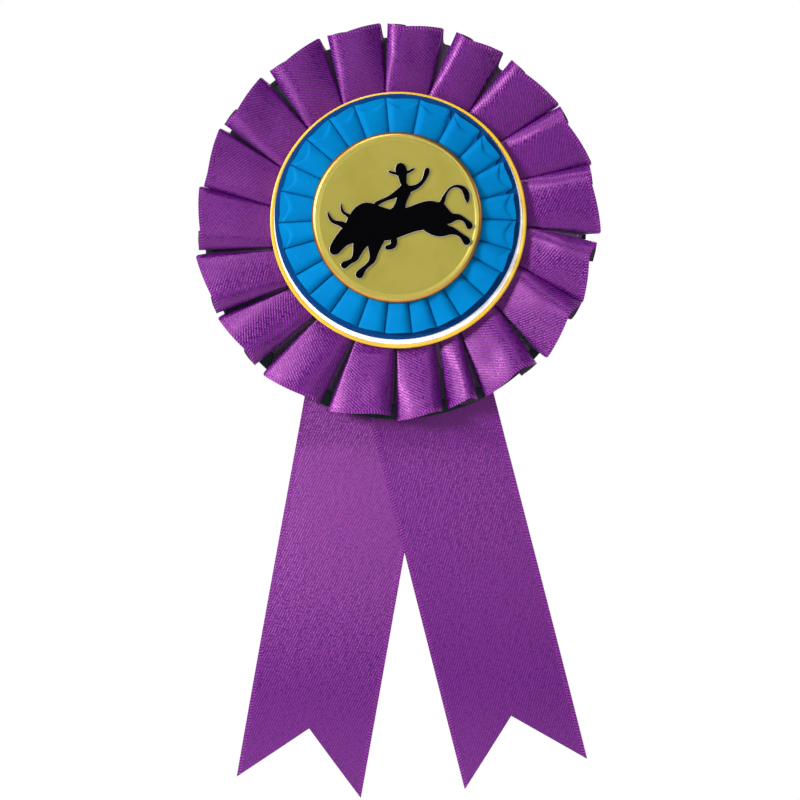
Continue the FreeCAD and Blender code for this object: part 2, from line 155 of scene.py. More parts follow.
PURPLE_CREST = 6.4 * MM  # and at the hem
PURPLE_THICK = 0.25 * MM

# The line of one purple pleat: (zone, how far along it, height as a share of the crest's,
# how far out from the floor's hem to the panel's, how much painted shade darkens it)
PURPLE_SECTION = [
    ("tuck", 1.00, 0.20, 0.80, 1.0),
    ("tuck", 1.03, 0.12, 0.50, 1.0),
    ("tuck", 0.75, 0.06, 0.10, 1.0),
    ("tuck", 0.00, 0.04, 0.00, 1.0),
    ("gap", 0.50, 0.05, 0.00, 1.0),
    ("gap", 0.80, 0.12, 0.10, 1.0),
    ("gap", 0.97, 0.24, 0.72, 0.3),
    ("panel", 0.00, 0.36, 1.00, 0.0),
    ("panel", 0.08, 0.48, 1.00, 0.0),
    ("panel", 0.25, 0.69, 1.00, 0.0),
    ("panel", 0.42, 0.83, 1.00, 0.0),
    ("panel", 0.58, 0.94, 1.00, 0.0),
    ("panel", 0.70, 0.99, 1.00, 0.0),
    ("panel", 0.79, 0.99, 1.00, 0.0),
    ("panel", 0.88, 0.89, 1.00, 0.0),
    ("panel", 0.95, 0.75, 1.00, 0.0),
    ("panel", 1.00, 0.56, 1.00, 0.0),
    ("return", 0.10, 0.36, 1.00, 0.5),
    ("return", 0.50, 0.28, 1.00, 0.9),
    ("return", 0.90, 0.22, 0.95, 1.0),
]

BLUE_TUCK = 4.5  # degrees that a fold's return reaches back
BLUE_INNER = 21.0 * MM
BLUE_FLOOR_REACH = 33.2 * MM
BLUE_CREST = 1.7 * MM
BLUE_THICK = 0.15 * MM
BLUE_GAP = 0.4  # degrees between a fold and the next panel
BLUE_NOTCHED = (285, 352)  # the pleats between these angles stand further apart at the hem
BLUE_NOTCH = 2.6
BLUE_UPPER = 118  # degrees to each side of the top within which the hems are creased and longer

# The line of one blue pleat, in the same columns; its last column paints shade on the tucks, the gap
# and the panel's end at the fold
BLUE_SECTION = [
    ("tuck", 1.00, 0.26, 0.60, 0.8),
    ("tuck", 1.04, 0.16, 0.30, 0.8),
    ("tuck", 0.50, 0.06, 0.00, 0.8),
    ("gap", 0.50, 0.08, 0.00, 0.5),
    ("panel", 0.00, 0.24, 1.00, 0.0),
    ("panel", 0.08, 0.50, 1.00, 0.0),
    ("panel", 0.30, 0.76, 1.00, 0.0),
    ("panel", 0.60, 0.96, 1.00, 0.0),
    ("panel", 0.76, 1.00, 1.00, 0.1),
    ("panel", 0.89, 0.80, 1.00, 0.0),
    ("panel", 1.00, 0.42, 1.00, 0.2),
    ("return", 0.30, 0.34, 1.00, 0.8),
    ("return", 0.85, 0.30, 0.80, 0.8),
]

STREAMER_THICK = 0.3 * MM
BEND_START = -5.0 * MM
BEND_END = 9.0 * MM

# ---------------------------------------------------------------- meshes


def polar(reach, degrees, centre=(0.0, 0.0)):
    """The point in plan, (x, z), this far out at this angle."""
    angle = math.radians(degrees)
    return np.array([centre[0] - reach * math.sin(angle), centre[1] + reach * math.cos(angle)])


def rounded(points, times=2):
    """A closed line of rows with its corners cut, twice as many rows each time."""
    for _ in range(times):
        following = np.roll(points, -1, axis=0)
        pairs = np.stack([0.75 * points + 0.25 * following, 0.25 * points + 0.75 * following], axis=1)
        points = pairs.reshape(-1, points.shape[1])
    return points


def new_object(name, mesh, material):
    piece = bpy.data.objects.new(name, mesh)
    bpy.context.scene.collection.objects.link(piece)
    mesh.materials.append(material)
    return piece


def smooth(mesh, crease):
    """Shade smooth, but keep edges sharper than the crease angle."""
    mesh.shade_smooth()
    mesh.set_sharp_from_angle(angle=math.radians(crease))


def settle(piece):
    """Turn the piece's modifiers into its mesh."""
    evaluated = piece.evaluated_get(bpy.context.evaluated_depsgraph_get())
    mesh = bpy.data.meshes.new_from_object(evaluated)
    piece.modifiers.clear()
    piece.data = mesh


def sheet_piece(name, points, along, across, thick, material, shade=None):
    """A sheet through a grid of points. along and across are each point's place on the flat cloth."""
    rows, columns = points.shape[:2]
    faces = []
    for row in range(rows - 1):
        for column in range(columns - 1):
            corner = row * columns + column
            faces.append((corner, corner + 1, corner + columns + 1, corner + columns))
    mesh = bpy.data.meshes.new(name)
    mesh.from_pydata(points.reshape(-1, 3).tolist(), [], faces)
    places = np.stack([along, across], axis=-1).reshape(-1, 2)
    corners = np.empty(len(mesh.loops), dtype=np.int32)
    mesh.loops.foreach_get("vertex_index", corners)
    layer = mesh.uv_layers.new(name="cloth")
    layer.data.foreach_set("uv", places[corners].astype(np.float32).ravel())
    # shade is painted shade: how far the material darkens the cloth's colour towards shadow
    if shade is not None:
        attribute = mesh.attributes.new("shade", "FLOAT", "POINT")
        attribute.data.foreach_set("value", shade.astype(np.float32).ravel())
    piece = new_object(name, mesh, material)
    solid = piece.modifiers.new("thickness", "SOLIDIFY")
    solid.thickness = thick
    solid.offset = -1
    solid.use_even_offset = False
    settle(piece)
    smooth(piece.data, 55)
    return piece


def lathe(name, profile, centre, material, steps=240, crease=35):
    """A solid of revolution. The profile is (radius, y), from the axis round to the axis."""
    vertices, faces = [], []
    for reach, y in profile[1:-1]:
        for step in range(steps):
            x, z = polar(reach, 360 * step / steps)
            vertices.append((centre[0] + x, y, centre[1] + z))
    rings = len(profile) - 2
    for ring in range(rings - 1):
        for step in range(steps):
            beside = (step + 1) % steps
            base = ring * steps
            faces.append((base + step, base + beside, base + steps + beside, base + steps + step))
    for ring, y in ((0, profile[0][1]), (rings - 1, profile[-1][1])):
        vertices.append((centre[0], y, centre[1]))
        hub = len(vertices) - 1
        for step in range(steps):
            faces.append((hub, ring * steps + step, ring * steps + (step + 1) % steps))
    mesh = bpy.data.meshes.new(name)
    mesh.from_pydata(vertices, [], faces)
    piece = new_object(name, mesh, material)
    outward(mesh)
    smooth(mesh, crease)
    return piece


def outward(mesh):
    """Make the faces of a closed mesh look outwards."""
    work = bmesh.new()
    work.from_mesh(mesh)
    bmesh.ops.recalc_face_normals(work, faces=work.faces)
    work.to_mesh(mesh)
    work.free()


def arc(centre_reach, centre_y, size, start, end, steps):
    """Profile points round an arc; 0 degrees looks outwards and 90 to the front."""
    points = []
    for step in range(steps + 1):
        angle = math.radians(start + (end - start) * step / steps)
        points.append((centre_reach + size * math.cos(angle), centre_y - size * math.sin(angle)))
    return points


# ---------------------------------------------------------------- materials


def rgb(red, green, blue):
    """A colour given as it looks on a screen, 0 to 255, as linear light."""
    linear = []
    for value in (red, green, blue):
        share = value / 255
        linear.append(share / 12.92 if share <= 0.04045 else ((share + 0.055) / 1.055) ** 2.4)
    return (*linear, 1.0)


class Finish:
    """A node material being built round one Principled shader."""

    def __init__(self, name, **values):
        self.material = bpy.data.materials.new(name)
        self.material.use_nodes = True
        self.tree = self.material.node_tree
        self.shader = self.tree.nodes["Principled BSDF"]
        for socket, value in values.items():
            self.shader.inputs[socket.replace("_", " ")].default_value = value

    def node(self, kind, inputs, output=0, **settings):
        """Add a node; inputs are socket values or links by name or number. Returns an output."""
        node = self.tree.nodes.new("ShaderNode" + kind)
        for name, value in settings.items():
            setattr(node, name, value)
        for key, value in inputs.items():
            if isinstance(value, bpy.types.NodeSocket):
                self.tree.links.new(value, node.inputs[key])
            else:
                node.inputs[key].default_value = value
        return node.outputs[output]

    def math(self, operation, first, second=0.0):
        return self.node("Math", {0: first, 1: second}, operation=operation)

    def add(self, first, second):
        return self.math("ADD", first, second)

    def times(self, first, second):
        return self.math("MULTIPLY", first, second)

    def step(self, value, low, high):
        """0 below low, 1 above high, and a smooth rise between; high may be the lower one."""
        inputs = {"Value": value, "From Min": low, "From Max": high}
        return self.node("MapRange", inputs, interpolation_type="SMOOTHSTEP")

    def mix(self, share, first, second):
        """The first colour where share is 0 and the second where it is 1."""
        inputs = {0: share, 6: first, 7: second}
        return self.node("Mix", inputs, output=2, data_type="RGBA")

    def noise(self, scale, detail=2.0, stretch=(1, 1, 1), place=None):
        """Noise from 0 to 1 at this many waves a metre, in the object's own space by default."""
        place = place or self.object_place()
        place = self.node("Mapping", {"Vector": place, "Scale": stretch})
        return self.node("TexNoise", {"Vector": place, "Scale": scale, "Detail": detail})

    def object_place(self):
        return self.node("TexCoord", {}, output="Object")

    def cloth_place(self):
        """The place on the flat cloth: a vector, and its metres along and across."""
        place = self.node("UVMap", {}, uv_map="cloth")
        along = self.node("SeparateXYZ", {0: place})
        across = self.node("SeparateXYZ", {0: place}, output=1)
        return place, along, across

    def reach(self, centre):
        """How far out a place lies from an (x, z) centre, in metres."""
        inputs = {0: self.object_place(), 1: (centre[0], 0.0, centre[1])}
        offset = self.node("VectorMath", inputs, operation="SUBTRACT")
        flat = self.node("VectorMath", {0: offset, 1: (1.0, 0.0, 1.0)}, operation="MULTIPLY")
        return self.node("VectorMath", {0: flat}, output="Value", operation="LENGTH")

    def bump(self, height, depth, strength=1.0):
        """Relief: a height from 0 to 1 that stands this many metres proud."""
        inputs = {"Height": height, "Distance": depth, "Strength": strength}
        self.link("Normal", self.node("Bump", inputs))

    def link(self, socket, value):
        self.tree.links.new(value, self.shader.inputs[socket])

    def colour(self, value):
        self.link("Base Color", value)

    def done(self):
        return self.material


def stripes(finish, along, across, pitch, slant):
    """0 to 1 ribs on cloth at this pitch, whose lines lean by slant degrees from straight across."""
    angle = math.radians(slant)
    straight = finish.times(along, math.cos(angle) / pitch)
    leaning = finish.times(across, math.sin(angle) / pitch)
    phase = finish.times(finish.add(straight, leaning), 2 * math.pi)
    return finish.add(finish.times(finish.math("SINE", phase), 0.5), 0.5)


def edge_stitches(finish, along, across, width, band, pitch):
    """The woven edge of a ribbon: a mask of the two bands, and the slanted stitches in them."""
    from_edge = finish.math("MINIMUM", across, finish.math("SUBTRACT", width, across))
    mask = finish.step(from_edge, band * 1.15, band * 0.9)
    leaning = finish.add(along, finish.times(from_edge, 0.35))
    wave = finish.math("SINE", finish.times(leaning, 2 * math.pi / pitch))
    stitch = finish.step(wave, -0.35, 0.55)
    return mask, finish.times(mask, stitch)


def satin(name, dark, base, light, slant, pitch, width):
    """Woven satin ribbon: its lustre lies across the threads, broken up by fine slanting ribs.

    The edges are stitched, and painted shade darkens the cloth to dark green-grey in the folds' tucks
    and gaps.
    """
    finish = Finish(
        name, Anisotropic=0.8, Anisotropic_Rotation=0.25,
        IOR=1.55, Specular_IOR_Level=1.0, Specular_Tint=(0.92, 0.3, 0.8, 1.0),
    )
    place, along, across = finish.cloth_place()
    wander = finish.times(finish.noise(700.0, 2.0, place=place), 0.6 * pitch)
    ribs = stripes(finish, finish.add(along, wander), across, pitch, slant)
    breaks = finish.noise(1500.0, 2.0, stretch=(1.0, 0.5, 1.0), place=place)
    dashes = finish.times(finish.step(ribs, 0.25, 0.85), finish.step(breaks, 0.32, 0.56))
    threads = finish.noise(4200.0, 2.0, stretch=(0.5, 1.0, 1.0), place=place)
    weave = finish.add(finish.times(dashes, 0.75), finish.times(threads, 0.25))
    colour = finish.mix(finish.times(weave, 0.65), base, light)
    mask, stitch = edge_stitches(finish, along, across, width, band=1.25 * MM, pitch=0.87 * MM)
    colour = finish.mix(finish.times(mask, 0.85), colour, dark)
    colour = finish.mix(finish.times(stitch, 0.9), colour, light)
    # painted shade: the shade attribute darkens the colour to dark green-grey, standing for the deep
    # shadow in the pleats' gaps and tucks
    shade = finish.node("Attribute", {}, output="Fac", attribute_name="shade")
    painted_shade = finish.step(shade, 0.3, 0.7)
    finish.colour(finish.mix(painted_shade, colour, rgb(30, 50, 54)))
    finish.link("Roughness", finish.add(finish.times(weave, 0.2), 0.36))
    relief = finish.add(finish.times(weave, 0.45), finish.times(stitch, 1.0))
    finish.bump(relief, 0.14 * MM, 0.9)
    finish.link("Tangent", finish.node("Tangent", {}, direction_type="UV_MAP", uv_map="cloth"))
    return finish.done()


def purple_satin(name, slant):
    """The purple ribbon, its ribs leaning by slant degrees."""
    dark, base, light = rgb(36, 0, 62), rgb(42, 0, 72), rgb(136, 36, 158)
    rib_pitch = 0.72 * MM
    return satin(name, dark, base, light, slant, rib_pitch, RIBBON_WIDTH)


def blue_satin():
    """The blue ribbon: matt, smooth and almost plain."""
    finish = Finish("blue_satin", Roughness=0.6, Specular_IOR_Level=0.02)
    place, along, across = finish.cloth_place()
    threads = finish.noise(2400.0, 3.0, stretch=(1.0, 0.4, 1.0), place=place)
    clouds = finish.noise(120.0, 2.0, place=place)
    colour = finish.mix(finish.step(clouds, 0.2, 0.8), rgb(0, 104, 166), rgb(0, 116, 176))
    colour = finish.mix(finish.times(threads, 0.25), colour, rgb(0, 124, 184))
    # painted shade: the shade attribute darkens the tucks and the folds' edges to deep blue
    painted_shade = finish.node("Attribute", {}, output="Fac", attribute_name="shade")
    colour = finish.mix(painted_shade, colour, rgb(0, 44, 110))
    finish.colour(colour)
    finish.bump(threads, 0.03 * MM, 0.5)
    return finish.done()


def moulded(name, colour, deep, roughness):
    """Moulded plastic: faint flow marks and a fine grain."""
    finish = Finish(name, Specular_IOR_Level=0.5, Coat_Weight=0.2, Coat_Roughness=0.15)
    flow = finish.noise(90.0, 3.0)
    grain = finish.noise(3000.0, 2.0)
    finish.colour(finish.mix(finish.step(flow, 0.3, 0.8), colour, deep))
    finish.link("Roughness", finish.add(finish.times(grain, 0.12), roughness))
    finish.bump(grain, 0.02 * MM, 0.4)
    return finish.done()


def board(name, colour, deep, roughness=0.8):
    """Card: soft mottling and paper fibres."""
    finish = Finish(name, Specular_IOR_Level=0.1)
    mottle = finish.noise(160.0, 4.0)
    fibres = finish.noise(1800.0, 4.0, stretch=(1.0, 1.0, 0.3))
    share = finish.add(finish.times(finish.step(mottle, 0.2, 0.8), 0.4), finish.times(fibres, 0.6))
    finish.colour(finish.mix(share, colour, deep))
    finish.link("Roughness", finish.add(finish.times(fibres, 0.15), roughness - 0.1))
    finish.bump(fibres, 0.05 * MM, 0.5)
    return finish.done()


def metal(name, colour, deep, roughness, brushed=(1.0, 1.0, 1.0)):
    """Bright metal: fine brushing and patches handled duller."""
    finish = Finish(name, Metallic=1.0)
    brush = finish.noise(1500.0, 3.0, stretch=brushed)
    patches = finish.noise(130.0, 2.0)
    finish.colour(finish.mix(finish.step(patches, 0.3, 0.8), colour, deep))
    varied = finish.add(finish.times(brush, 0.14), finish.times(patches, 0.08))
    finish.link("Roughness", finish.add(varied, roughness - 0.1))
    finish.bump(brush, 0.01 * MM, 0.5)
    return finish.done()


def enamel(name):
    """Black paint on metal, with a painted highlight: its bevelled edges are coloured bright metal."""
    finish = Finish(name, Specular_IOR_Level=0.02)
    grain = finish.noise(1400.0, 3.0)
    paint = finish.mix(grain, rgb(0, 0, 1), rgb(3, 3, 5))
    facing = finish.node("NewGeometry", {}, output="Normal")
    straight = finish.math("ABSOLUTE", finish.node("SeparateXYZ", {0: facing}, output=1))
    # painted highlight: the bevelled edges, picked out by their facing, are coloured light metal so
    # that they shine like a lit bevel
    edge = finish.times(finish.step(straight, 0.92, 0.78), finish.step(straight, 0.3, 0.6))
    finish.colour(finish.mix(edge, paint, rgb(178, 172, 158)))
    finish.link("Metallic", finish.times(edge, 0.7))
    finish.link("Roughness", finish.add(finish.times(grain, 0.15), 0.35))
    finish.bump(grain, 0.02 * MM, 0.3)
    return finish.done()


def felt(name):
    """Pressed felt: short fibres lying every way."""
    finish = Finish(name, Roughness=0.95, Sheen_Weight=0.5, Sheen_Roughness=0.6, Specular_IOR_Level=0.1)
    fibres = finish.noise(1600.0, 6.0)
    clumps = finish.noise(300.0, 3.0)
    share = finish.add(finish.times(fibres, 0.6), finish.times(clumps, 0.4))
    finish.colour(finish.mix(finish.step(share, 0.3, 0.7), rgb(206, 204, 198), rgb(238, 236, 230)))
    finish.bump(share, 0.25 * MM, 0.8)
    return finish.done()


def foam(name):
    finish = Finish(name, Roughness=0.9, Specular_IOR_Level=0.1)
    cells = finish.node("TexVoronoi", {"Vector": finish.object_place(), "Scale": 1400.0})
    finish.colour(finish.mix(finish.step(cells, 0.1, 0.6), rgb(198, 196, 190), rgb(240, 238, 232)))
    finish.bump(cells, 0.1 * MM, 0.6)
    return finish.done()


def paint_node(node, material):
    """Give a carried-over CAD node a finished material."""
    for place in frame["nodes"][node].material_slots:
        place.material = material


# ---------------------------------------------------------------- ruffles


def pleat_points(section, before, start, fold, tuck, reach, centre):
    """Control points of one pleat on one circle: rows of x, z.

    before, start and fold are the angles of the fold before, the panel's start and its own fold.
    reach(panel share, outward share) tells how far out a point lies.
    """
    points = []
    for zone, share, _, outward_share, _ in section:
        if zone == "tuck":
            angle = before - share * tuck
        elif zone == "gap":
            angle = before + share * (start - before)
        elif zone == "panel":
            angle = start + share * (fold - start)
        else:
            angle = fold - share * tuck
        points.append(polar(reach(panel_share(zone, share), outward_share), angle, centre))
    return points


def panel_share(zone, share):
    """How far a point of the section has come across its panel, from 0 to 1."""
    return {"tuck": 0.0, "gap": 0.0, "panel": share, "return": 1.0}[zone]


def dipped(start, dip, fold, floor):
    """How far out a pleat's hem lies along its panel: down to a dip, then up to the fold."""
    lowest = 0.76

    def reach(share, outward_share):
        if share < lowest:
            panel = start + (dip - start) * share / lowest
        else:
            panel = dip + (fold - dip) * (share - lowest) / (1 - lowest)
        return floor + (panel - floor) * outward_share

    return reach


def level(distance):
    """The same distance out everywhere."""
    return lambda share, outward_share: distance


def ruffle_sheet(name, pleats, section, rows, crest, base, thick, material, centre, dent):
    """A ribbon folded into knife pleats round a ring, with the length of its hem.

    pleats holds, for each pleat, its control points on three circles: the inner edge, a middle
    one and the hem. rows are the shares at which the cloth has rows, up to 1 from the inner
    edge to the middle and on to 2 at the hem. crest(distance) is a fold's height there, and
    dent(plan, distance, share, height) is how far the cloth lies below its plain section.
    """
    heights = [row[2] for row in section] * len(pleats)
    # the section's last column: how much painted shade darkens the cloth's colour at each point
    dark = [row[4] for row in section] * len(pleats)
    shares = [panel_share(row[0], row[1]) for row in section] * len(pleats)
    circles = [np.concatenate([pleat[ring] for pleat in pleats]) for ring in range(3)]
    columns = rounded(np.column_stack([*circles, heights, dark, shares]))
    inner, halfway, hem = columns[:, 0:2], columns[:, 2:4], columns[:, 4:6]
    height, shade, share = columns[:, 6], columns[:, 7], columns[:, 8]
    plan = np.array([
        inner + (halfway - inner) * row if row < 1 else halfway + (hem - halfway) * (row - 1)
        for row in rows
    ])
    distance = np.hypot(plan[..., 0] - centre[0], plan[..., 1] - centre[1])
    rise = height * crest(distance) - dent(plan, distance, share, height)
    points = np.stack([plan[..., 0], base - rise, plan[..., 1]], axis=-1)
    along, across = cloth_places(points, len(pleats))
    shade = np.broadcast_to(shade, distance.shape)
    piece = sheet_piece(name, points, along, across, thick, material, shade)
    return piece, float(along[-1].max() - along[-1].min())


def cloth_places(points, pleats):
    """Where each point lies on the flat ribbon, true in the middle of every panel."""
    panel_middle = 0.55
    steps = np.linalg.norm(np.diff(points, axis=1), axis=2)
    run = np.concatenate([np.zeros((len(points), 1)), np.cumsum(steps, axis=1)], axis=1)
    along = run.copy()
    count = points.shape[1] // pleats
    for pleat in range(pleats):
        columns = slice(pleat * count, (pleat + 1) * count)
        centre = pleat * count + round(count * panel_middle)
        along[:, columns] = run[:, columns] - run[:, [centre]] + run[-1, centre]
    widths = np.linalg.norm(np.diff(points, axis=0), axis=2)
    across = np.concatenate([np.zeros((1, points.shape[1])), np.cumsum(widths, axis=0)], axis=0)
    across = RIBBON_WIDTH - (across[-1] - across)
    return along, across


def purple_ruffle():
    """The big ruffle: puffed pleats that stand up at the hem and lie pressed under the button."""
    folds = fold_angles("purple_ruffle")
    centre = (0.0, 0.0)
    hem_tuck, button_tuck, inner_tuck = PURPLE_TUCKS
    pleats = []
    for index, (gap, button_gap, lean, start, dip, fold) in enumerate(PURPLE_PLEATS):
        before = folds[index - 1] - (360 if index == 0 else 0)
        before_lean = PURPLE_PLEATS[index - 1][2]
        hem = pleat_points(
            PURPLE_SECTION, before, before + gap, folds[index], hem_tuck,
            dipped(start * MM, dip * MM, fold * MM, PURPLE_FLOOR_REACH), centre,
        )
        circles = []
        for reach, turn, tuck in (
            (PURPLE_INNER, PURPLE_INNER_TURN, inner_tuck),
            (BUTTON_RADIUS, 1.0, button_tuck),
        ):
            last = before + turn * before_lean
            own = folds[index] + turn * lean
            circles.append(pleat_points(
                PURPLE_SECTION, last, last + button_gap, own, tuck, level(reach), centre,
            ))
        pleats.append((*circles, hem))

    def crest(distance):
        """Pressed down to just beyond the button, then rising ever more gently to the hem."""
        beyond = distance - BUTTON_REACH - 0.3 * MM
        share = np.clip(beyond / (PURPLE_HEM - BUTTON_REACH), 0, 1)
        return PURPLE_PRESSED + (PURPLE_CREST - PURPLE_PRESSED) * (1 - (1 - share) ** 1.5)

    def dent(plan, distance, share, height):
        """Soft hollows and swells, none near the button's edge."""
        swells_a_metre = 95
        depth = 0.9 * MM
        free = np.clip((distance - BUTTON_REACH - 1.5 * MM) / (8 * MM), 0, 1)
        swells = np.zeros(distance.shape)
        for place in np.ndindex(distance.shape):
            x, z = plan[place]
            swells[place] = noise.noise(Vector((x, z, 0.0)) * swells_a_metre)
        return swells * depth * free * np.clip(height, 0, 1) ** 2

    rows = [0.0, 0.4, 0.8, *np.linspace(1, 2, 22)]
    piece, length = ruffle_sheet(
        "purple_pleats", pleats, PURPLE_SECTION, rows, crest, HUB_FRONT, PURPLE_THICK,
        purple_satin("ruffle_satin", slant=-52), centre, dent,
    )
    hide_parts("purple_ruffle")
    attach(piece, "rosette")


def blue_ruffle():
    """The small ruffle of flat pleats, glued to the navy card under the medal."""
    centre = middle("navy_disc")
    folds = fold_angles("inner_ruffle", centre)
    hem_reach = radius("inner_ruffle")
    inner_reach = BLUE_INNER
    middle_reach = (hem_reach + inner_reach) / 2
    pleats = []
    for index, fold in enumerate(folds):
        before = folds[index - 1] - (360 if index == 0 else 0)
        apart = BLUE_NOTCH if BLUE_NOTCHED[0] < fold < BLUE_NOTCHED[1] else BLUE_GAP
        further = 0.5 * MM if abs((fold + 180) % 360 - 180) < BLUE_UPPER else 0.0
        own_reach = hem_reach + further
        dip = own_reach - 0.25 * MM - further / 2
        hem_line = dipped(own_reach, dip, own_reach, BLUE_FLOOR_REACH)
        circles = []
        for gap, reach in (
            (BLUE_GAP, level(inner_reach)),
            (BLUE_GAP, level(middle_reach)),
            (apart, hem_line),
        ):
            circles.append(pleat_points(
                BLUE_SECTION, before, before + gap, fold, BLUE_TUCK, reach, centre,
            ))
        pleats.append(circles)

    def crest(distance):
        return np.full(distance.shape, BLUE_CREST)

    def dent(plan, distance, share, height):
        """The hems of the upper pleats are pushed back beyond a curved crease."""
        fade = 20
        end_margin = 0.7 * MM
        sag = 2.3 * MM
        run_out = 0.45 * MM
        depth = 0.5 * MM
        turn = np.degrees(np.arctan2(plan[..., 0] - centre[0], plan[..., 1] - centre[1]))
        upper = np.clip((BLUE_UPPER - np.abs(turn)) / fade, 0, 1)
        crease = hem_reach - end_margin - sag * np.sin(math.pi * np.clip(share, 0, 1))
        beyond = np.clip((distance - crease) / run_out, 0, 1)
        return depth * upper * beyond * np.clip(height, 0, 1)

    rows = [0.0, 0.5, *np.linspace(1, 1.6, 8), *np.linspace(1.65, 2, 18)]
    piece, length = ruffle_sheet(
        "blue_pleats", pleats, BLUE_SECTION, rows, crest, front("navy_disc"), BLUE_THICK,
        blue_satin(), centre, dent,
    )
    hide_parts("inner_ruffle")
    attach(piece, "rosette")


# ---------------------------------------------------------------- streamers


class Streamer:
    """The flat lines of one streamer, read from its joint and its two CAD nodes."""

    def __init__(self, side):
        name = side + "_streamer_lift"
        joint = next(joint for joint in frame["joints"] if joint["name"] == name)
        across = Vector(joint["axis"])
        self.across = across if across.x > 0 else -across
        self.along = self.across.cross(Vector((0, 1, 0)))
        if self.along.z > 0:
            self.along = -self.along
        self.pivot = Vector(joint["pos_m"])
        root = self.flat_points(f"streamer_{side}_root")
        tail = self.flat_points(f"streamer_{side}_tail")
        self.top = min(down for down, off in root)
        self.tips = max(down for down, off in tail)
        self.half = max(off for down, off in tail)
        notch = min(tail, key=lambda place: abs(place[1]))
        self.notch = self.tips - notch[0]

    def flat_points(self, node):
        """Each vertex as metres along the ribbon from the bend, and across it."""
        points = [vertex.co - self.pivot for vertex in frame["nodes"][node].data.vertices]
        return [(point.dot(self.along), point.dot(self.across)) for point in points]

    def place(self, along, across):
        """The point this far along the ribbon from the bend, and this far across it."""
        return self.pivot + self.along * along + self.across * across


LEFT = Streamer("left")
RIGHT = Streamer("right")
RIBBON_WIDTH = 2 * LEFT.half
SWAY_TOP = round(LEFT.pivot.z - 3.0 * MM, 3)  # to the millimetre, like the next
SWAY_DROP = round(SWAY_TOP - CAD_BOX[0].z, 3)


def sway(point):
    """How far forward a streamer hangs at this place. The two share it, so they never cross."""
    steepness = 0.1
    return_share = 0.95
    easing = 6.0 * MM
    below = max(0.0, SWAY_TOP - point.z)
    bow = steepness * below * (1 - return_share * (below / SWAY_DROP) ** 3)
    return bow * (1 - math.exp(-below / easing))


def streamer(side, lines, slant):
    """One satin streamer with its swallowtail end, hanging forward below where it leaves the ruffle."""
    edge_curl = 0.35 * MM
    curl_run = 30.0 * MM
    columns = np.linspace(-lines.half, lines.half, 39)
    rows = np.linspace(0, 1, 210)
    points = np.zeros((len(rows), len(columns), 3))
    along = np.zeros(points.shape[:2])
    across = np.zeros(points.shape[:2])
    for column, off in enumerate(columns):
        end = lines.tips - lines.notch * (1 - abs(off) / lines.half)
        for row, share in enumerate(rows):
            down = lines.top + (end - lines.top) * share
            point = lines.place(down, off)
            curl = edge_curl * (off / lines.half) ** 2 * min(1.0, max(0.0, down / curl_run))
            point.y -= sway(point) - curl
            points[row, column] = point
            along[row, column] = down - lines.top
            across[row, column] = off + lines.half
    shade = np.zeros(points.shape[:2])
    material = purple_satin(side + "_satin", slant)
    name = side + "_streamer_ribbon"
    piece = sheet_piece(name, points, along, across, STREAMER_THICK, material, shade)
    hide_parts(f"streamer_{side}_root", f"streamer_{side}_tail")
    start, end = lines.place(BEND_START, 0), lines.place(BEND_END, 0)
    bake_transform(piece)


# ---------------------------------------------------------------- button, medal and cards


def tray():
    """Yellow tray whose low rounded rim comes level with the white card."""
    outer, back, lip = BUTTON_RADIUS, rear("button_tray"), front("button_tray")
    inner, floor = radius("white_disc"), rear("white_disc")
    half = (outer - inner) / 2
    heel = 0.4 * MM
    rise = 0.35 * MM
    steps = 12
    profile = [(0, back), (outer - heel, back), (outer, back - heel)]
    for step in range(steps + 1):
        turn = math.pi * step / steps
        reach = inner + half * (1 + math.cos(turn))
        profile.append((reach, lip + rise * (1 - math.sin(turn))))
    profile += [(inner, floor), (0, floor)]
    material = moulded("yellow_moulding", rgb(226, 182, 34), rgb(214, 164, 26), 0.36)
    piece = lathe("tray_moulding", profile, middle("button_tray"), material)
    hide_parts("button_tray")
    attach(piece, "rosette")


def card(name, node, material):
    """A round card with its edge a little softened."""
    reach, back, face = radius(node), rear(node), front(node)
    soft = min(0.15 * MM, (back - face) * 0.3)
    profile = [(0, back), (reach - soft, back), (reach, back - soft)]
    profile += [(reach, face + soft), (reach - soft, face), (0, face)]
    piece = lathe(name, profile, middle(node), material)
    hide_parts(node)
    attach(piece, "rosette")


def bezel():
    """Spun gold dish: a copper-coloured outer edge, and a soft round rim that coves into the field."""
    outer, back = radius("medal_bezel"), rear("medal_bezel")
    inner, floor = radius("medal_insert"), rear("medal_insert")
    field = front("medal_insert")
    lip = field - 0.2 * MM
    round_size = 1.5 * MM
    heel = 0.15 * MM
    crown = outer - round_size
    foot = inner - heel
    foot_y = field - 0.01 * MM
    profile = [(0, back), (outer - heel, back), (outer, back - heel)]
    profile += arc(crown, lip + round_size, round_size, 10, 90, 14)
    steps = 10
    for step in range(1, steps + 1):
        share = step / steps
        drop = (1 - math.cos(math.pi * share)) / 2
        profile.append((crown + (foot - crown) * share, lip + (foot_y - lip) * drop))
    profile += [(foot, floor), (0, floor)]
    centre = middle("medal_bezel")
    finish = Finish("spun_gold", Metallic=1.0)
    spun = finish.noise(900.0, 2.0)
    edge = finish.step(finish.reach(centre), outer - 1.0 * MM, outer - 0.8 * MM)
    gold = finish.mix(finish.noise(200.0, 2.0), rgb(206, 192, 98), rgb(196, 180, 86))
    finish.colour(finish.mix(edge, gold, rgb(206, 136, 68)))
    finish.link("Roughness", finish.add(finish.times(spun, 0.08), 0.36))
    piece = lathe("bezel_rim", profile, centre, finish.done(), crease=60)
    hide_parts("medal_bezel")
    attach(piece, "rosette")


def insert():
    """Brushed gold field of the medal."""
    material = metal("brushed_foil", rgb(178, 166, 80), rgb(170, 158, 71), 0.45, (1.0, 1.0, 0.25))
    card("gold_field", "medal_insert", material)


# ---------------------------------------------------------------- back


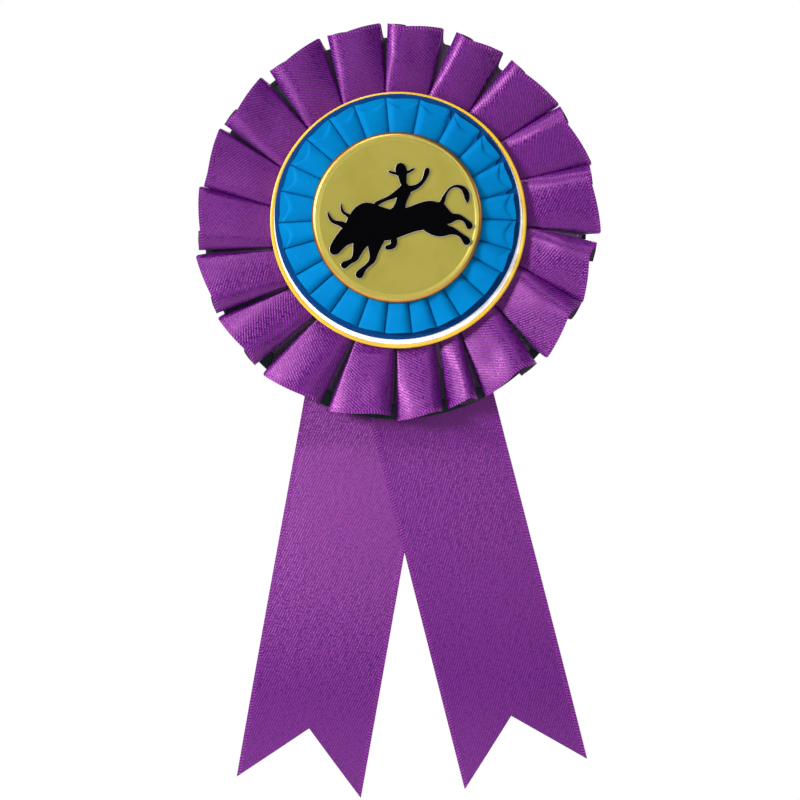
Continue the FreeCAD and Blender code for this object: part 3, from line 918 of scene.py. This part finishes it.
def patch():
    """Felt patch glued over the bar pin's plate, and down to the card on both sides of it."""
    low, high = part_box("pin_patch")
    plate_low, plate_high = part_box("pin_plate")
    plate_thick = 0.8 * MM
    slope_run = 0.9 * MM
    thick = high.y - plate_thick
    rows, columns = 61, 81
    points = np.zeros((rows, columns, 3))
    centre_z = (low.z + high.z) / 2
    half = (plate_high.z - plate_low.z) / 2
    for row in range(rows):
        for column in range(columns):
            x = low.x + (high.x - low.x) * column / (columns - 1)
            z = low.z + (high.z - low.z) * row / (rows - 1)
            off = abs(z - centre_z) - half
            slope = min(1.0, max(0.0, 1 - off / slope_run))
            rise = thick + plate_thick * slope * slope * (3 - 2 * slope)
            points[row, column] = (x, rise, z)
    along, across = points[..., 0] - low.x, points[..., 2] - low.z
    piece = sheet_piece("felt_patch", points, along, across, thick, felt("pressed_felt"))
    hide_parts("pin_patch")
    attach(piece, "rosette")


def pin_metals():
    """The bar pin, the safety catch and the staples, each in its own metal."""
    nickel = metal("nickel_plate", rgb(206, 206, 210), rgb(188, 188, 194), 0.24, (0.15, 1.0, 1.0))
    steel = metal("spring_steel_wire", rgb(188, 192, 200), rgb(170, 174, 184), 0.18)
    brass = metal("turned_brass", rgb(224, 188, 104), rgb(206, 166, 84), 0.26)
    for node in ("pin_plate", "hinge_rivet", "catch_housing"):
        paint_node(node, nickel)
    paint_node("needle", steel)
    paint_node("staples", steel)
    paint_node("catch_rotor", brass)


def hidden_parts():
    """The foam pads and the sewing thread between the layers."""
    for node in ("button_pad", "medal_pad"):
        paint_node(node, foam(node + "_foam"))
    thread = Finish("sewing_thread", Roughness=0.6, Sheen_Weight=0.3)
    twist = thread.noise(2500.0, 2.0)
    thread.colour(thread.mix(twist, rgb(70, 20, 90), rgb(120, 50, 140)))
    thread.bump(twist, 0.05 * MM, 0.6)
    paint_node("ruffle_stitching", thread.done())


# ---------------------------------------------------------------- scene


def area_light(name, place, target, size, watts):
    """A round soft light that the camera doesn't see."""
    light = bpy.data.lights.new(name, "AREA")
    light.shape = "DISK"
    light.size = size
    light.energy = watts
    lamp = bpy.data.objects.new(name, light)
    lamp.location = place
    lamp.rotation_euler = (Vector(target) - Vector(place)).to_track_quat("-Z", "Y").to_euler()
    lamp.visible_camera = False
    bpy.context.scene.collection.objects.link(lamp)


def surroundings():
    """White to the camera, and a softer even light on the object."""
    world = bpy.data.worlds.new("studio")
    bpy.context.scene.world = world
    world.use_nodes = True
    nodes, links = world.node_tree.nodes, world.node_tree.links
    ambient = nodes["Background"]
    ambient.inputs["Color"].default_value = (0.95, 0.96, 1.0, 1.0)
    ambient.inputs["Strength"].default_value = 0.14
    white = nodes.new("ShaderNodeBackground")
    white.inputs["Color"].default_value = (1, 1, 1, 1)
    seen = nodes.new("ShaderNodeLightPath")
    choice = nodes.new("ShaderNodeMixShader")
    links.new(seen.outputs["Is Camera Ray"], choice.inputs[0])
    links.new(ambient.outputs[0], choice.inputs[1])
    links.new(white.outputs[0], choice.inputs[2])
    links.new(choice.outputs[0], nodes["World Output"].inputs["Surface"])


def floor():
    """Pale round floor below the streamers' tips."""
    reach, thick = 0.46, 0.004
    drop = 0.066
    finish = Finish("pale_floor", Roughness=0.9, Specular_IOR_Level=0.2)
    mottle = finish.noise(6.0, 3.0)
    finish.colour(finish.mix(mottle, rgb(240, 240, 240), rgb(248, 248, 248)))
    profile = [(0, 0.0), (reach, 0.0), (reach, thick), (0, thick)]
    disc = lathe("floor", profile, (0, 0), finish.done(), steps=180)
    disc.rotation_euler = (math.radians(90), 0, 0)
    disc.location = (0, 0, CAD_BOX[0].z - drop)


def camera():
    """Square on to the front, far enough away for the photograph's flat perspective."""
    lens = bpy.data.cameras.new("camera")
    lens.lens = 135
    lens.sensor_width = 36
    field = 0.24
    margin = 6.5 * MM
    distance = field * lens.lens / lens.sensor_width
    view = bpy.data.objects.new("camera", lens)
    height = CAD_BOX[1].z + margin - field / 2
    view.location = (0.15 * MM, front("button_tray") - distance, height)
    view.rotation_euler = (math.radians(90), 0, 0)
    bpy.context.scene.collection.objects.link(view)
    bpy.context.scene.camera = view


def build():
    """Every piece, the staging, the camera and the lights."""
    camera()
    purple_ruffle()
    blue_ruffle()
    streamer("left", LEFT, slant=75)
    streamer("right", RIGHT, slant=60)
    tray()
    white = board("white_stock", rgb(252, 252, 252), rgb(248, 248, 248), 0.9)
    card("white_ring", "white_disc", white)
    navy = board("navy_stock", rgb(0, 62, 122), rgb(0, 52, 108), 0.9)
    card("navy_ring", "navy_disc", navy)
    bezel()
    insert()
    paint_node("emblem", enamel("black_enamel"))
    # The backing and hub cards are coloured the dark green-black of the deep shadow between the pleats:
    # painted shade.
    dark = board("painted_shade_stock", rgb(34, 48, 46), rgb(24, 36, 36), 0.75)
    card("backing_board", "base_disc", dark)
    card("hub_board", "pleat_card", dark)
    cream = board("back_stock", rgb(232, 230, 224), rgb(216, 213, 205))
    card("back_board", "back_card", cream)
    patch()
    pin_metals()
    hidden_parts()
    floor()
    surroundings()
    target = (0, 0, -0.03)
    area_light("key", (-0.60, -0.44, 0.17), target, size=0.22, watts=7.5)
    area_light("top", (-0.16, -0.40, 0.62), target, size=0.14, watts=2.0)
    area_light("fill", (0.25, -0.9, 0.1), target, size=0.6, watts=1.7)
    area_light("side", (0.75, 0.12, 0.2), target, size=0.4, watts=3.0)
    area_light("back", (0.15, 0.8, 0.5), target, size=0.7, watts=9.0)


build()
bpy.context.scene.view_settings.view_transform = "Standard"
